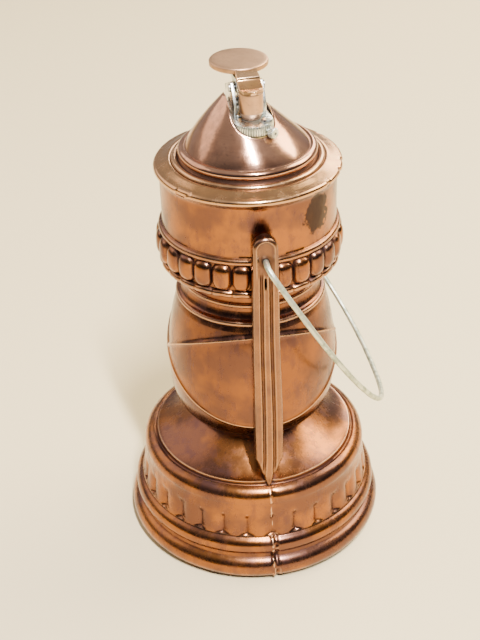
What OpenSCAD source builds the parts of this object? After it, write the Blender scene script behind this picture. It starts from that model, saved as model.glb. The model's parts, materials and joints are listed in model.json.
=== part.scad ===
// Table lighter in the shape of a small miner's lantern.
// Origin: centre of the foot's underside. +Z is up, the two side posts stand on the Y axis,
// the bail rests towards +X, and the lighter's nose points towards -Y.

/* [Base] */
// Outer radius of the foot ring
foot_r = 35; // [34:0.5:36]
// Radius of the rounded foot ring's section
foot_bead = 3.4; // [3:0.1:3.6]
// Outer radius of the second ring
ring_r = 33.5; // [33:0.1:34]
// Radius of the fluted band at its lower edge
band_r = 31.4; // [31:0.1:31.8]
// Radius of the fluted band at its upper edge
band_top_r = 30.3; // [30:0.1:30.6]
// Number of shallow flutes round the band
flutes = 30; // [24:2:36]
// Radius of the tank dome where it leaves the groove
dome_r = 26.8; // [26.4:0.1:27]
// Height of the groove between shoulder and dome
groove_z = 27.2; // [27:0.1:27.6]
// Height of the seat that the globe stands on
seat_z = 34.9; // [34.7:0.1:35.1]
// Wall of the cast shells
wall = 1.8; // [1.6:0.1:2]

/* [Globe] */
// Largest radius of the barrel-shaped globe
globe_r = 22.05; // [21.8:0.05:22.2]
// Height of the globe's largest radius
globe_z = 51; // [50:0.5:52]
// Sweep radius of the globe's side
globe_sweep = 65; // [60:1:70]
// Height of the collar ridge over the globe
ridge_z = 71.6; // [71:0.1:72]
// Height at which the two guard hoops cross
hoop_z = 55.4; // [55:0.1:56]
// Tilt of each guard hoop from level, degrees
hoop_tilt = 33.4; // [32:0.2:35]
// How far the guard hoops stand out of the globe
hoop_relief = 0.5; // [0.4:0.1:0.7]

/* [Crown] */
// Height of the crown's floor, which rests on the globe
crown_z = 82.6; // [82.4:0.1:82.8]
// Radius of the rolled lip under the crown
lip_r = 22.9; // [22.7:0.1:23.1]
// Radius over the gadroon lobes
lobe_r = 23.6; // [23.4:0.1:23.7]
// Number of gadroon lobes
lobes = 28; // [24:2:32]
// Radius of the plain drum
drum_r = 21.7; // [21.5:0.1:21.9]
// Radius of the crown's top flange
flange_r = 23; // [22.8:0.1:23.2]
// Height of the crown's top face
deck_z = 107.6; // [107.4:0.1:107.8]

/* [Roof] */
// Radius of the rolled edge of the roof
roof_r = 16.8; // [16.4:0.1:16.85]
// Height of the roof's highest point
roof_top = 124.6; // [123.4:0.2:125]
// Radius of the roof's tip before it is pierced
tip_r = 4; // [3.5:0.1:4.5]
// How far the tip leans to the side, from years of thumb pressure
tip_lean = 2.4; // [0:0.2:2.6]

/* [Posts and bail] */
// Width of a side post
post_w = 6.4; // [6:0.2:7]
// Distance from the axis to a post's inner face
post_in = 24; // [23.9:0.1:24.2]
// Distance from the axis to a post's outer face
post_out = 27.4; // [27:0.1:27.8]
// Height of the top of a post
post_top = 99.8; // [99:0.2:100.4]
// Height of the bail's pivot
pivot_z = 93.7; // [93:0.1:94.5]
// Diameter of the bail wire
wire_d = 1.3; // [1.1:0.1:1.4]
// Distance from the pivot to the far end of the bail
bail_reach = 64.2; // [62.2:0.2:65]
// Radius of the bail's round end
bail_end_r = 34; // [33:0.5:35]
// Angle of the resting bail from straight up, degrees
bail_rest = 147.4; // [140:0.2:150]

/* [Lighter insert] */
// Turn of the whole insert about the vertical axis, degrees
insert_turn = 6; // [0:1:8]
// Half width of the insert's oblong collar
collar_r = 5.1; // [5:0.05:5.15]
// Distance from the axis to each end centre of the oblong
collar_c = 5; // [4.8:0.1:5.2]
// Height of the collar's top face
collar_z = 119.8; // [119.7:0.05:119.85]
// Height of the collar's underside, which rests on the sleeve
collar_seat = 117.2; // [117:0.1:117.4]
// Underside of the fuel tank
tank_z = 88.2; // [88:0.1:88.6]

/* [Lighter mechanism] */
// Height of the lift arm's pivot
pin_z = 126; // [125.8:0.1:126.2]
// Radius of the thumb disc
disc_r = 7.1; // [6.8:0.1:7.2]
// Height of the thumb disc's top
disc_top = 130.2; // [130:0.1:130.4]
// Thickness of the thumb disc
disc_t = 1.4; // [1.2:0.1:1.5]
// Distance of the snuffer's centre in front of the pivot
snuffer_y = 4.2; // [4:0.1:4.3]
// Outer radius of the snuffer cap
snuffer_r = 2.85; // [2.7:0.05:2.9]
// Underside of the snuffer cap
snuffer_z = 119.9; // [119.8:0.1:120]
// Radius of the spark wheel
wheel_r = 2.6; // [2.4:0.1:2.6]
// Distance of the spark wheel behind the pivot
wheel_y = 1.6; // [1.5:0.1:1.8]
// Distance from the mid plane to the inside of a bracket ear
ear_in = 3.2; // [3.1:0.1:3.3]
// Thickness of a bracket ear
ear_t = 0.7; // [0.6:0.1:0.8]

/* [Hidden] */
$fn = 96;
copper = [0.66, 0.36, 0.22];
nickel = [0.74, 0.76, 0.74];
brass_c = [0.78, 0.62, 0.3];
steel_c = [0.6, 0.6, 0.62];
inner_r = foot_r - 5.5;
wheel_z = snuffer_z + wheel_r;
wire_r = wire_d / 2;
bore_r = wire_r + 0.09;
// Pegs and studs that hold the posts, and the tie rod
peg_y = 25.4;
peg_r = 0.9;
rod_r = 1.5;
stud_z = 87;
stud_r = 1.2;
disc_low = disc_top - disc_t;

// Points along an arc in the (radius, height) plane
function arc(c, r, a0, a1, n = 10) = [
    for (i = [0:n]) let(a = a0 + (a1 - a0) * i / n) c + r * [cos(a), sin(a)]
];
// Radius of the globe's side at height z, grown by g
function globe_side(z, g = 0) =
    globe_r - globe_sweep + sqrt(pow(globe_sweep + g, 2) - pow(z - globe_z, 2));

// Outer outline of the base, from the floor up to the globe's seat
base_outline = concat(
    [[inner_r, 0]],
    arc([foot_r - foot_bead, foot_bead], foot_bead, -90, 70),
    arc([ring_r - 2.9, 9.9], 2.9, -50, 65),
    [[band_r, 13], [band_top_r, 20.9]],
    arc([dome_r + 0.1, groove_z - 3.6], 3.4, -20, 72),
    [[dome_r + 0.4, groove_z - 0.1], [dome_r, groove_z + 0.5]],
    [for (t = [0.15:0.17:1]) [dome_r - (dome_r - 15.8) * t, groove_z + 0.5 + 6.7 * pow(t, 1.35)]],
    [[15.8, seat_z - 0.4], [15.4, seat_z], [14.6, seat_z]]);

module oblong(r, c = collar_c) {
    translate([0, c]) circle(r);
    translate([0, -c]) circle(r);
    square([2 * r, 2 * c], center = true);
}

// A vertical prism or tube with the insert's oblong outline
module oblong_bar(r, z0, z1) { translate([0, 0, z0]) linear_extrude(z1 - z0) oblong(r); }

module ring(r_out, r_in, z0, z1) {
    translate([0, 0, z0]) difference() {
        cylinder(r = r_out, h = z1 - z0);
        translate([0, 0, -1]) cylinder(r = r_in, h = z1 - z0 + 2);
    }
}

module rod(r, z0, z1) { translate([0, 0, z0]) cylinder(r = r, h = z1 - z0); }

// A bar along X, centred on the mid plane
module cross_bar(r, half, y, z) {
    translate([-half, y, z]) rotate([0, 90, 0]) cylinder(r = r, h = 2 * half, $fn = 48);
}

// Extrudes a (y, z) outline along X between x0 and x1
module side_plate(x0, x1) {
    translate([x0, 0, 0]) rotate([90, 0, 90]) linear_extrude(x1 - x0) children();
}

// The same plate on both sides of the mid plane
module side_plates(x0, x1) {
    for (s = [0, 1]) mirror([s, 0, 0]) side_plate(x0, x1) children();
}

module turned() { rotate([0, 0, insert_turn]) children(); }

// ---------- base ----------
module base_shell() {
    color(copper) difference() {
        rotate_extrude() polygon(concat(base_outline, [
            [14.6, seat_z + 3], [12.8, seat_z + 3], [12.8, seat_z - 1.5], [14, 31.8], [dome_r - 1, 24.9],
            [band_top_r - 2.2, 19.5], [inner_r - 2, 8], [inner_r - 2, 6.2], [inner_r, 6.2]]));
        // creases between the flutes
        for (i = [0:flutes - 1]) rotate([0, 0, (i + 1) * 360 / flutes - 90])
            translate([band_top_r + 0.9, 0, 17]) rotate([0, -7.5, 0]) rotate([0, 0, 45])
                cube([1, 1, 6.6], center = true);
        for (s = [-1, 1]) translate([0, s * peg_y, 22]) cylinder(r = peg_r + 0.03, h = 12, $fn = 32);
    }
}

module base_plate() { color(steel_c) ring(inner_r - 0.1, rod_r + 0.1, 5.2, 6.2); }
module base_card() { color([0.55, 0.45, 0.32]) rod(inner_r - 0.2, 1.2, 2); }
module base_felt() { color([0.16, 0.32, 0.2]) rod(inner_r - 0.1, 0, 1.2); }
module tie_rod() { color(steel_c) rod(rod_r, 2.4, crown_z + 3.7); }
module base_washer() { color(steel_c) ring(4, rod_r + 0.05, 4.7, 5.2); }

module hex_nut(z0, z1) {
    color(steel_c) translate([0, 0, z0]) difference() {
        cylinder(r = 3.2, h = z1 - z0, $fn = 6);
        translate([0, 0, -1]) cylinder(r = rod_r + 0.03, h = z1 - z0 + 2, $fn = 48);
    }
}
module base_nut() { hex_nut(2.5, 4.7); }
module crown_nut() { hex_nut(crown_z + 1.8, crown_z + 3.8); }

// ---------- globe ----------
// Outline of the globe's outside, grown outwards by g
function globe_outline(g = 0) = concat(
    arc([16.2, 39.7], 4.8 + g, -90, -8),
    [for (z = [40:3.1:71]) [globe_side(z, g), z]]);

module globe_shell() {
    color(copper) {
        rotate_extrude() polygon(concat(
            [[14.75, seat_z]], globe_outline(),
            arc([18.7, ridge_z], 0.65, -60, 80, 6),
            [[17.5, 73.4]], arc([17.1, 76.2], 0.9, -70, 70, 6), [[17.2, 78], [17.2, crown_z]],
            [[15.3, crown_z], [15.3, 75], [17.2, 70], [globe_side(63) - wall, 63], [globe_r - wall, globe_z],
             [globe_side(42) - wall, 42], [17, 38.4], [14.75, 38.2]]));
        // the two guard hoops: slices of a slightly larger globe
        intersection() {
            rotate_extrude() polygon(concat([[16, seat_z - hoop_relief]], globe_outline(hoop_relief),
                [[17.2, 70.5], [globe_r - 1, globe_z], [19, 41], [16, 37]]));
            for (s = [-1, 1]) translate([0, 0, hoop_z]) rotate([-s * hoop_tilt, 0, 0])
                cube([60, 60, 1.1], center = true);
        }
    }
}

// ---------- crown ----------
module crown_shell() {
    color(copper) difference() {
        union() {
            rotate_extrude() polygon(concat(
                [[1.6, crown_z], [20.4, crown_z], [20.8, crown_z - 1.4]],
                arc([lip_r - 0.95, crown_z - 0.5], 0.95, -110, 50, 6),
                [[lobe_r - 1.2, crown_z + 0.6], [lobe_r - 1.2, 90.1]],
                arc([drum_r + 0.1, 91], 0.9, -50, 80, 6),
                [[drum_r, 92.2], [drum_r, deck_z - 2.8], [drum_r + 0.6, deck_z - 2]],
                arc([flange_r - 0.9, deck_z - 0.9], 0.9, -80, 90, 6),
                [[20.6, deck_z]], arc([19.7, deck_z - 0.1], 0.8, 10, 170, 6),
                arc([17.7, deck_z + 0.4], 0.9, 30, 180, 6),
                [[roof_r + 0.05, deck_z - 0.2], [12, deck_z - 0.2], [12, deck_z - 1.7],
                 [drum_r - 1.5, deck_z - 1.7], [drum_r - 1.5, crown_z + 1.8], [1.6, crown_z + 1.8]]));
            for (i = [0:lobes - 1]) rotate([0, 0, i * 360 / lobes - 90])
                translate([lobe_r - 2.3, 0, crown_z + 0.8]) cylinder(r = 2.3, h = 6.6, $fn = 32);
        }
        // hollow of the drum, clear of the lobes' backs
        rod(drum_r - 1.5, crown_z + 1.8, deck_z - 1.7);
        for (s = [-1, 1]) translate([0, s * 19, stud_z]) rotate([-s * 90, 0, 0])
            cylinder(r = stud_r + 0.03, h = 8, $fn = 32);
    }
}

// ---------- roof ----------
module roof_cone() {
    roll_r = 1.3;
    roll_z = deck_z + 1.4 + roll_r;
    color(copper) difference() {
        union() {
            hull() {
                rod(roof_r - 1, roll_z + 0.8, roll_z + 1);
                translate([-tip_lean, 0, roof_top - 0.3]) cylinder(r = tip_r, h = 0.3, $fn = 64);
            }
            rotate_extrude() polygon(concat(
                [[12.6, deck_z - 0.2], [roof_r - 0.8, deck_z - 0.2], [roof_r - 0.8, deck_z + 1.4]],
                arc([roof_r - roll_r, roll_z], roll_r, -60, 100, 10), [[12.6, roll_z + 1]]));
        }
        hull() {
            rod(roof_r - 3, 107, 107.4);
            translate([-tip_lean, 0, roof_top - 2.4]) cylinder(r = tip_r - 1.4, h = 0.3, $fn = 64);
        }
        turned() oblong_bar(collar_r + 0.1, 100, 130);
    }
}

module insert_sleeve() {
    color(brass_c) turned() difference() {
        oblong_bar(collar_r + 0.05, 86.6, collar_seat);
        oblong_bar(collar_r - 0.35, 87.2, collar_seat + 1);
    }
}

// ---------- side posts ----------
// One post on the -Y side: a ribbed bar with a round top and a pointed foot
module post() {
    h = post_w / 2;
    color(copper) difference() {
        union() {
            intersection() {
                translate([0, 0, 20]) linear_extrude(90) difference() {
                    union() {
                        translate([-h, -post_out + 1]) square([post_w, post_out - post_in - 1]);
                        translate([-h + 1, -post_out]) square([post_w - 2, 2]);
                        for (s = [-1, 1]) translate([s * (h - 1), -post_out + 1]) circle(1, $fn = 32);
                    }
                    for (s = [-1, 1]) translate([s * h * 0.36, -post_out - 0.35]) circle(0.85, $fn = 32);
                }
                rotate([90, 0, 0]) linear_extrude(40) union() {
                    translate([0, post_top - h]) circle(h);
                    polygon([[-h, post_top - h], [h, post_top - h], [h, 35.5],
                             [0.5, 27.4], [-0.5, 27.4], [-h, 35.5]]);
                }
            }
            // stud into the crown
            translate([0, -post_in - 0.5, stud_z]) rotate([-90, 0, 0]) cylinder(r = stud_r, h = 4.3, $fn = 32);
            translate([0, -peg_y, 26]) cylinder(r = peg_r, h = 6, $fn = 32);
        }
        // the foot is cut to the base's dome
        rotate_extrude() polygon(concat([[0, 24]], [for (p = base_outline) if (p[1] > 24) p], [[0, seat_z]]));
        translate([0, -post_in + 1, pivot_z]) rotate([90, 0, 0]) cylinder(r = bore_r, h = 6, $fn = 48);
    }
    // peg into the base below the dome
    color(copper) translate([0, -peg_y, 25.4]) cylinder(r = peg_r, h = 4, $fn = 32);
}
module post_front() { post(); }
module post_back() { rotate([0, 0, 180]) post(); }

// ---------- bail ----------
// Side arc between the elbow at bail_foot and the round end, tangent to the end arc at bail_join
bail_join = 80;
bail_foot = [3, 31.2];
end_c = bail_reach - bail_end_r;
join_u = [cos(bail_join), sin(bail_join)];
join_p = [end_c, 0] + bail_end_r * join_u;
join_d = join_p - bail_foot;
side_r = (join_d * join_d) / (2 * join_d * join_u);
side_c = join_p - side_r * join_u;
foot_a = atan2(bail_foot[1] - side_c[1], bail_foot[0] - side_c[0]);
elbow_r = 3;
elbow_u = [cos(foot_a), sin(foot_a)];
elbow_c = bail_foot - elbow_r * elbow_u;
bail_in = post_in - 1.1;
knuckle_in = 0.15;

// An arc of round wire in the XY plane, from angle a0 to a1 about c, stopping short inside the knuckles
module wire_arc(c, r, a0, a1) {
    short = knuckle_in * 180 / (PI * r);
    translate(c) rotate([0, 0, a0 + short]) rotate_extrude(angle = a1 - a0 - 2 * short)
        translate([r, 0]) circle(wire_r, $fn = 24);
}

// A rounded knuckle where two lengths of the bail meet, turned so that its poles lie along the wire
module knuckle(p, a) { translate(p) rotate([90, 0, a]) sphere(r = wire_r + 0.07, $fn = 32); }

// The side arc, the elbow and the inward end that runs in a post's bore
module bail_side() {
    knuckle(join_p, bail_join);
    wire_arc(side_c, side_r, bail_join, foot_a);
    knuckle(bail_foot, foot_a);
    wire_arc(elbow_c, elbow_r, foot_a, 180);
    translate([elbow_c[0] - elbow_r, 0, 0]) {
        knuckle([0, elbow_c[1], 0], 0);
        translate([0, bail_in, 0]) rotate([-90, 0, 0])
            cylinder(r = wire_r, h = elbow_c[1] - bail_in - knuckle_in, $fn = 24);
        // flattened end that keeps the wire from pulling out
        translate([0, bail_in, 0]) rotate([-90, 0, 0]) cylinder(r = wire_r + 0.3, h = 0.5, $fn = 24);
    }
}

module bail_wire() {
    color([0.66, 0.68, 0.6]) translate([0, 0, pivot_z]) rotate([0, bail_rest - 90, 0])
        translate([elbow_r - elbow_c[0], 0, 0]) union() {
            wire_arc([end_c, 0], bail_end_r, -bail_join, bail_join);
            bail_side();
            mirror([0, 1, 0]) bail_side();
        }
}

// ---------- lighter insert: tank ----------
flint_y = wheel_y;
wick_y = -snuffer_y;
filler_y = 6.4;

// The clamping screw lies flat and points out of the collar's front right corner
module along_screw() { translate([0, -collar_c, 118.2]) rotate([0, 90, -58]) children(); }

module insert_collar() {
    color(nickel) turned() difference() {
        union() {
            oblong_bar(collar_r, collar_seat, collar_z);
            oblong_bar(collar_r - 0.95, collar_seat - 1.4, collar_seat + 1);
            // boss over the clamping screw
            translate([3, -7.7, collar_z - 0.5]) cylinder(r = 1.25, h = 1.5, $fn = 32);
        }
        translate([0, wick_y, 100]) cylinder(r = 1.12, h = 30, $fn = 48);
        translate([0, flint_y, 100]) cylinder(r = 1.8, h = 30, $fn = 48);
        along_screw() translate([0, 0, 3.2]) cylinder(r = 0.65, h = 4, $fn = 32);
    }
}

module collar_screw() {
    color(nickel) turned() along_screw() {
        translate([0, 0, 3.3]) cylinder(r = 0.6, h = 3, $fn = 32);
        difference() {
            translate([0, 0, 5.9]) cylinder(r = 1.35, h = 1.5, $fn = 32);
            translate([-2, -0.2, 7]) cube([4, 0.4, 1]);
        }
    }
}

module tank_shell() {
    color(brass_c) turned() difference() {
        oblong_bar(collar_r - 0.55, tank_z + 0.8, collar_seat);
        oblong_bar(collar_r - 0.9, tank_z, collar_seat + 1);
    }
}

module tank_base() {
    color(brass_c) turned() difference() {
        oblong_bar(collar_r - 0.55, tank_z, tank_z + 0.8);
        translate([0, flint_y, tank_z - 1]) cylinder(r = 1.8, h = 3, $fn = 48);
        translate([0, filler_y, tank_z - 1]) cylinder(r = 1.25, h = 3, $fn = 48);
    }
}

module tank_wadding() {
    color([0.93, 0.91, 0.85]) turned() difference() {
        oblong_bar(collar_r - 1, tank_z + 2.4, collar_seat - 2);
        translate([0, flint_y, 80]) cylinder(r = 1.9, h = 60, $fn = 48);
        translate([0, wick_y, 104]) cylinder(r = 0.9, h = 30, $fn = 32);
    }
}

module wick_tube() {
    color(brass_c) turned() translate([0, wick_y, 0]) difference() {
        rod(1.1, collar_seat - 1.8, collar_z + 0.25);
        rod(0.72, 100, 130);
    }
}
module wick() { color([0.9, 0.87, 0.78]) turned() translate([0, wick_y, 0]) rod(0.7, 104.2, collar_z + 0.5); }

module flint_tube() {
    color(brass_c) turned() translate([0, flint_y, 0]) ring(1.78, 1.35, tank_z, collar_z);
}
module flint() {
    color([0.3, 0.29, 0.28]) turned() translate([0, flint_y, 0]) rod(1.25, spring_top, snuffer_z - 0.05);
}

// Closed-wound springs are drawn as a stack of round turns on one core
module coil(r_out, wire, z0, z1) {
    turns = floor((z1 - z0) / wire);
    pitch = (z1 - z0) / turns;
    rotate_extrude() union() {
        translate([r_out - wire, z0]) square([wire * 0.6, z1 - z0]);
        for (i = [0:turns - 1]) translate([r_out - wire / 2, z0 + (i + 0.5) * pitch])
            circle(wire / 2, $fn = 16);
    }
}
spring_low = 96.2;
spring_top = 114.6;
module flint_spring() {
    color(steel_c) turned() translate([0, flint_y, 0]) coil(1.25, 0.8, spring_low, spring_top);
}

module slotted_head(r, z0, z1) {
    difference() {
        rod(r, z0, z1);
        translate([-r - 1, -0.25, z0 - 0.1]) cube([2 * r + 2, 0.5, 0.45]);
    }
}
module flint_screw() {
    color(brass_c) turned() translate([0, flint_y, 0]) {
        rod(1.3, tank_z - 0.2, spring_low);
        slotted_head(2.2, tank_z - 0.8, tank_z);
    }
}
module filler_screw() {
    color(brass_c) turned() translate([0, filler_y, 0]) {
        rod(1.2, tank_z - 0.4, tank_z + 2.2);
        slotted_head(2.1, tank_z - 0.9, tank_z - 0.2);
    }
}
module filler_gasket() {
    color([0.12, 0.11, 0.1]) turned() translate([0, filler_y, 0]) ring(2, 1.25, tank_z - 0.2, tank_z);
}

// ---------- lighter insert: mechanism ----------
module bracket() {
    ear = ear_in + ear_t;
    color(nickel) turned() difference() {
        union() {
            translate([-ear, -3.4, collar_z]) cube([2 * ear, 9, 0.45]);
            side_plates(ear_in, ear) {
                translate([0, pin_z]) circle(1.4, $fn = 48);
                polygon([[-3.4, collar_z], [5.6, collar_z], [5.6, 124.8], [4.9, 125.3], [0.7, pin_z + 1.2],
                         [-1.3, pin_z + 0.3], [-3.1, 123.4], [-3.4, 122.6]]);
            }
        }
        translate([0, wick_y, 110]) cylinder(r = 2.2, h = 12, $fn = 48);
        translate([-1.9, wheel_y - 2.4, collar_z - 1]) cube([3.8, 4.8, 2]);
        cross_bar(0.53, 6, 0, pin_z);
        cross_bar(0.63, 6, wheel_y, wheel_z);
    }
}

module wheel_axle() { color(steel_c) turned() cross_bar(0.6, ear_in + ear_t + 0.15, wheel_y, wheel_z); }

// Outline of a toothed wheel
module star(r, depth, teeth) {
    polygon([for (i = [0:2 * teeth - 1])
        (r - (i % 2) * depth) * [cos(i * 180 / teeth), sin(i * 180 / teeth)]]);
}

// The wheel is cut with sharp teeth, and carries a smaller ratchet on each side
module spark_wheel() {
    color([0.36, 0.35, 0.34]) turned() translate([0, wheel_y, wheel_z]) rotate([0, 90, 0]) difference() {
        union() {
            translate([0, 0, -1.2]) linear_extrude(2.4) star(wheel_r, 0.22, 24);
            for (s = [-1, 1]) translate([0, 0, s * 1.35 - 0.25]) linear_extrude(0.5) star(1.9, 0.35, 12);
        }
        translate([0, 0, -3]) cylinder(r = 0.66, h = 6, $fn = 48);
    }
}

module pivot_pin() {
    reach = ear_in + ear_t;
    color(steel_c) turned() {
        cross_bar(0.5, reach + 0.4, 0, pin_z);
        for (s = [-1, 1]) translate([s * (reach + 0.22) - 0.18, 0, pin_z]) rotate([0, 90, 0])
            cylinder(r = 0.95, h = 0.36, $fn = 32);
    }
}
module arm_spring() {
    color(steel_c) turned() translate([0, 0, pin_z]) rotate([0, 90, 0]) coil(0.86, 0.3, -1.95, 1.95);
}

// The arm is one stamping: a stepped strap with two cheeks that straddle the spark wheel
arm_half = 2.7;
cheek_in = 2.1;
strap_bottom = 126.35;
module lift_arm() {
    color(copper) turned() difference() {
        union() {
            // plate over the snuffer, riser and the tail under the thumb disc
            side_plate(-arm_half, arm_half) polygon([[-7.2, strap_bottom], [-1.5, strap_bottom],
                [-0.55, disc_low - 0.9], [0.4, disc_low - 0.75], [9.2, disc_low - 0.75], [9.2, disc_low],
                [0.02, disc_low], [-0.05, disc_top - 0.15], [-0.6, disc_top - 0.2], [-1.9, 127.3],
                [-2.5, 127.05], [-2.9, 127.15], [-7.1, 127.15], [-7.2, 127]]);
            side_plates(cheek_in, arm_half) {
                translate([0, pin_z]) circle(1.2, $fn = 48);
                polygon([[-2.2, strap_bottom + 0.4], [-2.1, 125.4], [-0.9, 124.9], [0.9, 124.95], [2.6, 126.2],
                         [4.6, disc_low - 0.4], [-0.5, disc_low - 0.4]]);
            }
        }
        cross_bar(0.56, 6, 0, pin_z);
        translate([0, disc_r, 100]) cylinder(r = 0.92, h = 40, $fn = 32);
    }
}

// Blade on one cheek that reaches back to the ratchet
module arm_pawl() {
    color(steel_c) turned() side_plate(1.75, cheek_in) difference() {
        polygon([[1.2, 124.95], [2.3, 126.1], [4, 126.6], [4.5, 125.3], [4, 124.2], [3.3, 124.9]]);
        translate([0, pin_z]) circle(1.15);
    }
}

module thumb_disc() {
    color(copper) turned() translate([0, disc_r, disc_low]) difference() {
        rotate_extrude() polygon(concat([[0, 0], [disc_r - 0.35, 0], [disc_r, 0.3]],
            arc([disc_r - 0.4, disc_t - 0.4], 0.4, 0, 90, 5), [[0, disc_t]]));
        translate([0, 0, -1]) cylinder(r = 0.95, h = disc_t - 0.4 + 1, $fn = 32);
    }
}
module disc_rivet() {
    color(copper) turned() translate([0, disc_r, 0]) {
        rod(0.9, disc_low - 0.8, disc_top - 0.42);
        rod(1.5, disc_low - 1.15, disc_low - 0.75);
    }
}

// Cap that covers the wick: a turned cup with a tapered mouth
module snuffer_cap() {
    r = snuffer_r;
    color(copper) turned() translate([0, wick_y, 0]) rotate_extrude() polygon([[0, strap_bottom], [r, strap_bottom],
        [r, snuffer_z + 1.9], [r - 0.75, snuffer_z], [1.8, snuffer_z], [1.8, snuffer_z + 0.4],
        [r - 0.45, snuffer_z + 2.1], [r - 0.45, strap_bottom - 1], [0, strap_bottom - 1]]);
}
module snuffer_liner() {
    color([0.2, 0.19, 0.18]) turned() translate([0, wick_y, 0])
        rod(snuffer_r - 0.47, strap_bottom - 2, strap_bottom - 1);
}

base_shell();
base_plate();
base_card();
base_felt();
tie_rod();
base_washer();
base_nut();
crown_nut();
globe_shell();
crown_shell();
roof_cone();
insert_sleeve();
post_front();
post_back();
bail_wire();
insert_collar();
tank_shell();
tank_base();
tank_wadding();
wick_tube();
wick();
flint_tube();
flint();
flint_spring();
flint_screw();
filler_screw();
filler_gasket();
collar_screw();
bracket();
wheel_axle();
spark_wheel();
pivot_pin();
arm_spring();
lift_arm();
arm_pawl();
thumb_disc();
disc_rivet();
snuffer_cap();
snuffer_liner();
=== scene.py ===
"""Looks for the lantern-shaped table lighter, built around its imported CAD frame."""

import json
import math

import bmesh
import bpy
from mathutils import Matrix, Vector, noise


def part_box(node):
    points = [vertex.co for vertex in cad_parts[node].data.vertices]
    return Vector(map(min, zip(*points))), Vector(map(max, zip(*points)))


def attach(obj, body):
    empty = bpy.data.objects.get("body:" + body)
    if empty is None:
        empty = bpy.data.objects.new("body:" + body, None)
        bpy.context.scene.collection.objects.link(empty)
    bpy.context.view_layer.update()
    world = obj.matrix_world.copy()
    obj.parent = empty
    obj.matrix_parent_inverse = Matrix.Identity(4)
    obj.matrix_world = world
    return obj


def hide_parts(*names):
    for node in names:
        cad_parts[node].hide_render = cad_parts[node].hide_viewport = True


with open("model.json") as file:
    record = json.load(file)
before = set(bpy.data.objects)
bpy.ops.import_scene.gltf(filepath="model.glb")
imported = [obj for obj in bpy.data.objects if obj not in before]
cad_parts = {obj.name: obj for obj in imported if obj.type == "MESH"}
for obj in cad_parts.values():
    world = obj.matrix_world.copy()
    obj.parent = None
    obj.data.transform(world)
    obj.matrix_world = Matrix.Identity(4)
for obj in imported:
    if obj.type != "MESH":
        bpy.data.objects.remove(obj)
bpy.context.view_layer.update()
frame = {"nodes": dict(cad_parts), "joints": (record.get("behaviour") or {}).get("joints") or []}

MM = 0.001
TAU = 2 * math.pi
joints = {j["name"]: j for j in frame["joints"]}


# ---------- sizes, in millimetres, read from the frame ----------
def span(node):
    """Lowest and highest corner of a CAD node in millimetres."""
    lo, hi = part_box(node)
    return [v / MM for v in lo], [v / MM for v in hi]


foot_r = span("base_shell")[1][0]
seat_z = span("globe_shell")[0][2]
crown_z = span("globe_shell")[1][2]
lobe_r = span("crown_shell")[1][0]
deck_z = span("roof_cone")[0][2] + 0.2
roof_r = span("roof_cone")[1][0]
roof_top = span("roof_cone")[1][2]
post_out = -span("post_front")[0][1]
post_top = span("post_front")[1][2]
wire_r = 0.70
collar_seat = span("insert_sleeve")[1][2]
disc_top = span("thumb_disc")[1][2]
disc_r = (span("thumb_disc")[1][0] - span("thumb_disc")[0][0]) / 2
pivot_z = joints["bail_swing"]["pos_m"][2] / MM
pin_z = joints["arm_press"]["pos_m"][2] / MM
arm_axis = joints["arm_press"]["axis"]
insert_turn = math.atan2(-arm_axis[1], -arm_axis[0])
collar_z = 119.8


# ---------- small geometry helpers ----------
def arc(cx, cy, r, a0, a1, n=8):
    """Points on an arc, angles in degrees."""
    angles = [math.radians(a0 + (a1 - a0) * i / n) for i in range(n + 1)]
    return [(cx + r * math.cos(a), cy + r * math.sin(a)) for a in angles]


def dense(path, step):
    """The same path with no two points further apart than step."""
    out = [path[0]]
    for a, b in zip(path, path[1:]):
        count = max(1, math.ceil(math.dist(a, b) / step))
        for i in range(1, count + 1):
            out.append(tuple(p + (q - p) * i / count for p, q in zip(a, b)))
    return out


def spline(points, count):
    """A smooth curve through the points, with count steps between each pair."""
    ends = [points[0]] + list(points) + [points[-1]]
    out = []
    for p0, p1, p2, p3 in zip(ends, ends[1:], ends[2:], ends[3:]):
        for i in range(count):
            t = i / count
            out.append(tuple(
                0.5 * (2 * b + (c - a) * t + (2 * a - 5 * b + 4 * c - d) * t * t
                       + (3 * b - a - 3 * c + d) * t ** 3)
                for a, b, c, d in zip(p0, p1, p2, p3)))
    return out + [tuple(points[-1])]


def smooth(low, high, value):
    """0 below low, 1 above high, and an S curve in between."""
    t = min(1.0, max(0.0, (value - low) / (high - low)))
    return t * t * (3 - 2 * t)


def around(angle, centre):
    """Signed difference between two angles."""
    return (angle - centre + math.pi) % TAU - math.pi


def uneven(x, y, z, size, amount):
    """Smooth random value, plus or minus amount, with features of about that size."""
    return amount * noise.noise(Vector((x, y, z)) / size)


def lathe(profile, sides, shape=None, closed=True):
    """Turns a profile of (radius, height) about Z. shape moves each point by its angle."""
    verts = []
    for s in range(sides):
        a = TAU * s / sides
        for r, z in profile:
            if shape:
                r, z = shape(r, z, a)
            verts.append((r * math.cos(a), r * math.sin(a), z))
    n = len(profile)
    faces = []
    for s in range(sides):
        t = (s + 1) % sides
        for i in range(n if closed else n - 1):
            j = (i + 1) % n
            faces.append((s * n + i, t * n + i, t * n + j, s * n + j))
    return verts, faces


def loft(rings, caps=True):
    """Joins rings of points, each with the same count, into a closed skin."""
    n = len(rings[0])
    verts = [p for ring in rings for p in ring]
    faces = []
    for k in range(len(rings) - 1):
        for i in range(n):
            j = (i + 1) % n
            faces.append((k * n + i, k * n + j, (k + 1) * n + j, (k + 1) * n + i))
    if caps:
        faces.append(tuple(range(n))[::-1])
        faces.append(tuple((len(rings) - 1) * n + i for i in range(n)))
    return verts, faces


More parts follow.
